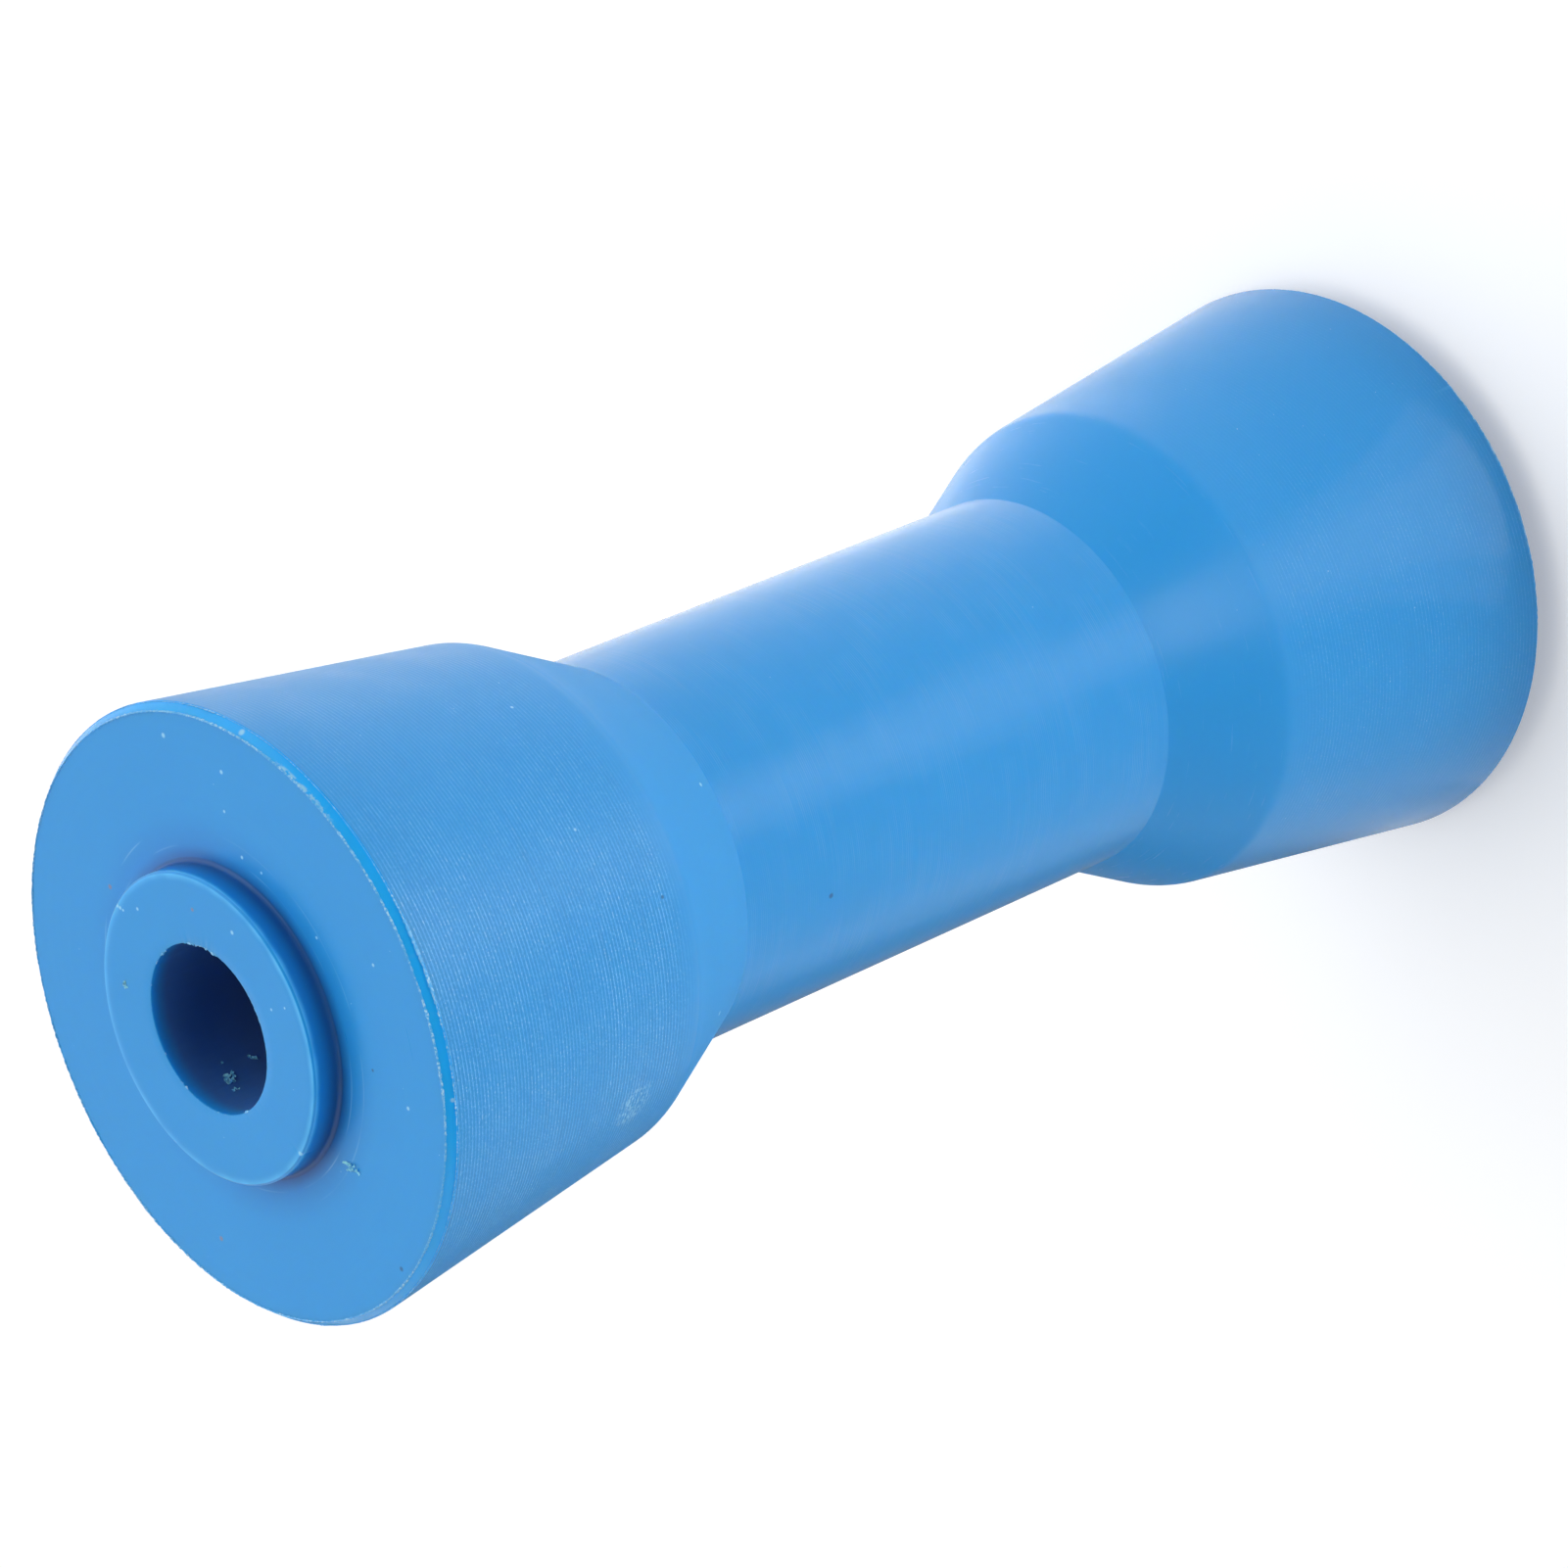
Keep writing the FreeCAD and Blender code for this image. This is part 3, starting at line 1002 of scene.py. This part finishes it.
def add_piece(context, name, mesh, material):
    """Put a small piece in the scene, on the roller's body."""
    mesh.materials.append(material)
    piece = new_object(context, name, mesh)
    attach(piece, BODY)


class ROLLER_OT_raise_burrs(bpy.types.Operator):
    """Leave the tool's ragged burrs on the edges of both ends"""

    bl_idname = "roller.raise_burrs"
    bl_label = "Raise Burrs"

    def execute(self, context):
        material = burr_finish(context.scene.roller_finish)
        for name, side in (("upper_burrs", 1.0), ("lower_burrs", -1.0)):
            add_piece(context, name, burr_mesh(name, side, context.scene.roller_sizes), material)
        return {"FINISHED"}


class ROLLER_OT_drop_shavings(bpy.types.Operator):
    """Drop the curled shavings that cling to the upper end"""

    bl_idname = "roller.drop_shavings"
    bl_label = "Drop Shavings"

    def execute(self, context):
        material = shaving_finish(context.scene.roller_finish)
        for seed, clump in enumerate(CLUMPS, start=FIRST_CLUMP_SEED):
            add_piece(context, clump.name, shaving_mesh(clump, seed), material)
        return {"FINISHED"}


class ROLLER_OT_set_stage(bpy.types.Operator):
    """Lay the floor, hang the lamps and set up the camera"""

    bl_idname = "roller.set_stage"
    bl_label = "Set Stage"

    def execute(self, context):
        stage = context.scene.roller_stage
        context.scene.view_settings.view_transform = "Standard"
        set_camera(context, stage)
        lay_floor(context, stage)
        lay_card(context)
        light_world(context)
        hang_lamps(context)
        return {"FINISHED"}


# The stage.

WHITE = (1.0, 1.0, 1.0, 1.0)
FLOOR_REACH = 6.0

# the dark card's outline on the floor, the way across its soft edge, and its two colours
CARD_CORNERS = ((-0.036, -0.010), (-0.600, 0.180), (-0.500, 0.700), (0.100, 0.700), (0.000, 0.036))
CARD_ACROSS = (0.320, 0.947)
CARD_PALE = (0.95, 0.95, 0.95, 1.0)
CARD_DARK = (0.24, 0.25, 0.27, 1.0)

# soft light from round the roller: towards where, how bright
GLOWS = [
    ((0.0, 0.0, 1.0), 0.92),
    ((0.0, 0.776, 0.631), 1.00),
    ((0.7, 0.0, 0.7), 1.10),
    ((0.5, 0.5, 0.7), 0.90),
    ((-1.0, 0.0, 0.15), 0.80),
    ((1.0, 0.0, 0.15), 0.30),
]
GLOW_EDGE = math.cos(math.radians(45.0))
GLOW_HEART = math.cos(math.radians(12.0))

# lamps that slope up from the floor: turn from the camera's side, nearest and farthest from the axis,
# width, brightness, whether they light the gloss, the body colour or both
SLIDES = [
    ("near_strip", 0.0, 0.0405, 0.085, 0.037, 1.25, "gloss"),
    ("near_fill", 0.0, 0.050, 0.100, 0.140, 0.44, "body"),
    ("middle_strip", 0.0, 0.085, 0.150, 0.068, 1.25, "both"),
    ("far_strip", 0.0, 0.150, 0.480, 0.155, 1.25, "both"),
    ("left_slide", -48.0, 0.060, 0.300, 0.120, 0.35, "body"),
    ("side_slide", 70.0, 0.060, 0.420, 0.160, 0.15, "both"),
    ("back_slide", 110.0, 0.060, 0.420, 0.160, 0.35, "both"),
]
# the plane that they lie in: its slope, and one distance from the axis with the height there
SLIDE_RISE = math.atan2(0.14, 0.36)
SLIDE_FOOT, SLIDE_FOOT_HEIGHT = 0.06, 0.012
# each slide is two lamps, one narrower than the other and just under it, for soft edges
SLIDE_WIDTHS = (0.60, 1.15)

# lamps that stand up: centre, facing, length and width, brightness, what they light
BOXES = [
    ("front_shine", (0.0, -0.25, 0.138), (0.0, 1.0, 0.0), 0.127, 0.0735, 6.5, "gloss"),
    ("front_box", (0.0, -0.48, 0.225), (0.0, 1.0, 0.0), 0.30, 0.15, 2.0, "body"),
    ("plus_x_box", (0.35, -0.50, 0.25), (-0.5, 0.86, 0.0), 0.30, 0.30, 0.22, "body"),
    ("minus_x_box", (-0.35, -0.50, 0.25), (0.5, 0.86, 0.0), 0.30, 0.30, 1.3, "body"),
]


def turned(spot, right, up, back):
    """The matrix of a camera or lamp at a spot, from its own three directions."""
    return Matrix.Translation(spot) @ Matrix((right, up, back)).transposed().to_4x4()


def set_camera(context, stage):
    """Aim the camera at the axis and roll it to the photograph's angle."""
    aim = Vector((stage.aim_side, 0.0, stage.aim_height))
    back = Vector((0.0, -math.cos(stage.elevation), math.sin(stage.elevation)))
    spot = aim + back * stage.distance
    spot.x = 0.0
    back = (spot - aim).normalized()
    level = Vector((0, 0, 1)).cross(back).normalized()
    right = Matrix.Rotation(stage.roll, 3, back) @ level
    data = bpy.data.cameras.new("camera")
    data.sensor_width = 36.0
    data.lens = stage.lens
    data.clip_start = 10 * MM
    data.clip_end = 100.0
    camera = new_object(context, "camera", data)
    camera.matrix_world = turned(spot, right, back.cross(right), back)
    context.scene.camera = camera


def seen_directly(graph):
    """1 for rays that show the background: from the camera, from a gloss and through glass."""
    path = graph.node("ShaderNodeLightPath")
    seen = graph.maths("MAXIMUM", path.outputs["Is Camera Ray"], path.outputs["Is Glossy Ray"])
    return seen.math("MAXIMUM", path.outputs["Is Transmission Ray"])


def lay_sheet(context, name, outline, level, material):
    """A flat sheet with this outline, level with the floor."""
    corners = [(x, y, level) for x, y in outline]
    mesh = new_mesh(name, corners, [tuple(range(len(corners)))])
    mesh.materials.append(material)
    return new_object(context, name, mesh)


def lay_floor(context, stage):
    """A wide pale floor just under the lower hub."""
    material, graph = new_material("pale_floor")
    material.cycles.emission_sampling = "NONE"
    pale = (stage.floor_colour, stage.floor_colour, stage.floor_colour, 1.0)
    diffuse = graph.node("ShaderNodeBsdfDiffuse", None, Color=pale).outputs[0]
    lift = graph.node("ShaderNodeEmission", None, Color=WHITE, Strength=stage.floor_lift).outputs[0]
    both = graph.node("ShaderNodeAddShader", None, diffuse, lift).outputs[0]
    mixed = graph.node("ShaderNodeMixShader", None, seen_directly(graph), diffuse, both)
    graph.node("ShaderNodeOutputMaterial", None, mixed.outputs[0])
    outline = [(x * FLOOR_REACH, y * FLOOR_REACH) for x, y in ((-1, -1), (1, -1), (1, 1), (-1, 1))]
    floor = lay_sheet(context, "floor", outline, cad_low.z - 0.05 * MM, material)


def lay_card(context):
    """A card on the floor behind the roller's left, dark at the back, which only its gloss shows: it paints
    shade into the reflections on the roller's -X side.
    """
    material, graph = new_material("dark_card")
    x, y, _ = graph.split(graph.coordinates("Object"))
    reach = (x * x + y * y).math("SQRT")
    behind = (x * CARD_ACROSS[0] + y * CARD_ACROSS[1]) / reach
    colour = graph.blend(behind.band(-0.20, 0.32), CARD_PALE, CARD_DARK)
    shade = graph.node("ShaderNodeBsdfDiffuse", None, Color=colour)
    graph.node("ShaderNodeOutputMaterial", None, shade.outputs[0])
    card = lay_sheet(context, "dark_card", CARD_CORNERS, cad_low.z + 0.5 * MM, material)
    for kind in ("camera", "diffuse", "transmission", "shadow"):
        setattr(card, f"visible_{kind}", False)


def light_world(context):
    """Soft light from the studio's pale sides, in a white room that is dark behind the camera."""
    world = bpy.data.worlds.new("studio")
    context.scene.world = world
    world.use_nodes = True
    graph = Graph(world.node_tree)
    way = graph.coordinates("Generated")
    light = 0.0
    for towards, strength in GLOWS:
        near = graph.compare("DOT_PRODUCT", way, tuple(Vector(towards).normalized()))
        light = near.band(GLOW_EDGE, GLOW_HEART, strength) + light
    _, y, z = graph.split(way)
    room = 1.0 - y.band(-0.02, -0.35) * z.band(0.13, 0.26)
    seen = seen_directly(graph)
    strength = seen * room + (1.0 - seen) * light
    background = graph.node("ShaderNodeBackground", None, Color=WHITE, Strength=strength)
    graph.node("ShaderNodeOutputWorld", None, background.outputs[0])


def hang_lamp(context, name, centre, facing, along, length, width, brightness, lights):
    """A soft rectangular lamp that the camera doesn't see, for the gloss, the body colour or both."""
    data = bpy.data.lights.new(name, "AREA")
    data.shape = "RECTANGLE"
    data.size = length
    data.size_y = width
    data.energy = brightness * math.pi * length * width
    lamp = new_object(context, name, data)
    back = -Vector(facing).normalized()
    right = Vector(along).normalized()
    lamp.matrix_world = turned(Vector(centre), right, back.cross(right), back)
    lamp.visible_camera = False
    lamp.visible_glossy = lights != "body"
    lamp.visible_diffuse = lights != "gloss"


def hang_lamps(context):
    """Hang every lamp of the two tables."""
    up = Vector((0.0, 0.0, 1.0))
    level, rise = math.cos(SLIDE_RISE), math.sin(SLIDE_RISE)
    for name, turn, near, far, width, brightness, lights in SLIDES:
        outwards = Vector((math.sin(math.radians(turn)), -math.cos(math.radians(turn)), 0.0))
        middle = (near + far) / 2
        height = SLIDE_FOOT_HEIGHT + (middle - SLIDE_FOOT) * math.tan(SLIDE_RISE)
        for share in SLIDE_WIDTHS:
            hang_lamp(context, name, outwards * middle + up * (height + share * MM),
                      up * level - outwards * rise, outwards * level + up * rise,
                      (far - near) / level, width * share, brightness / 2, lights)
    for name, centre, facing, length, width, brightness, lights in BOXES:
        hang_lamp(context, name, centre, facing, Vector(facing).cross(up), length, width, brightness, lights)


# The panel, and how Blender learns of it all.

class VIEW3D_PT_keel_roller(bpy.types.Panel):
    """Lists the roller's settings and the steps that build it"""

    bl_label = "Keel Roller"
    bl_space_type = "VIEW_3D"
    bl_region_type = "UI"
    bl_category = "Roller"

    def draw(self, context):
        for name, group in GROUPS.items():
            box = self.layout.box()
            for key in group.__annotations__:
                box.prop(getattr(context.scene, name), key)
        for step in STEPS:
            self.layout.operator(step.bl_idname)


GROUPS = {"roller_sizes": RollerSizes, "roller_finish": FinishSettings, "roller_stage": StageSettings}
STEPS = (ROLLER_OT_turn_body, ROLLER_OT_raise_burrs, ROLLER_OT_drop_shavings, ROLLER_OT_set_stage)
CLASSES = (*GROUPS.values(), *STEPS, VIEW3D_PT_keel_roller)


def register():
    """Register the classes and hang the settings on the scene."""
    for kind in CLASSES:
        bpy.utils.register_class(kind)
    for name, group in GROUPS.items():
        setattr(bpy.types.Scene, name, PointerProperty(type=group))


def unregister():
    """Undo it, the last one first."""
    for name in reversed(GROUPS):
        delattr(bpy.types.Scene, name)
    for kind in reversed(CLASSES):
        bpy.utils.unregister_class(kind)


def main():
    """Build the roller and its stage."""
    register()
    bpy.ops.roller.turn_body()
    bpy.ops.roller.raise_burrs()
    bpy.ops.roller.drop_shavings()
    bpy.ops.roller.set_stage()


if __name__ == "__main__":
    main()
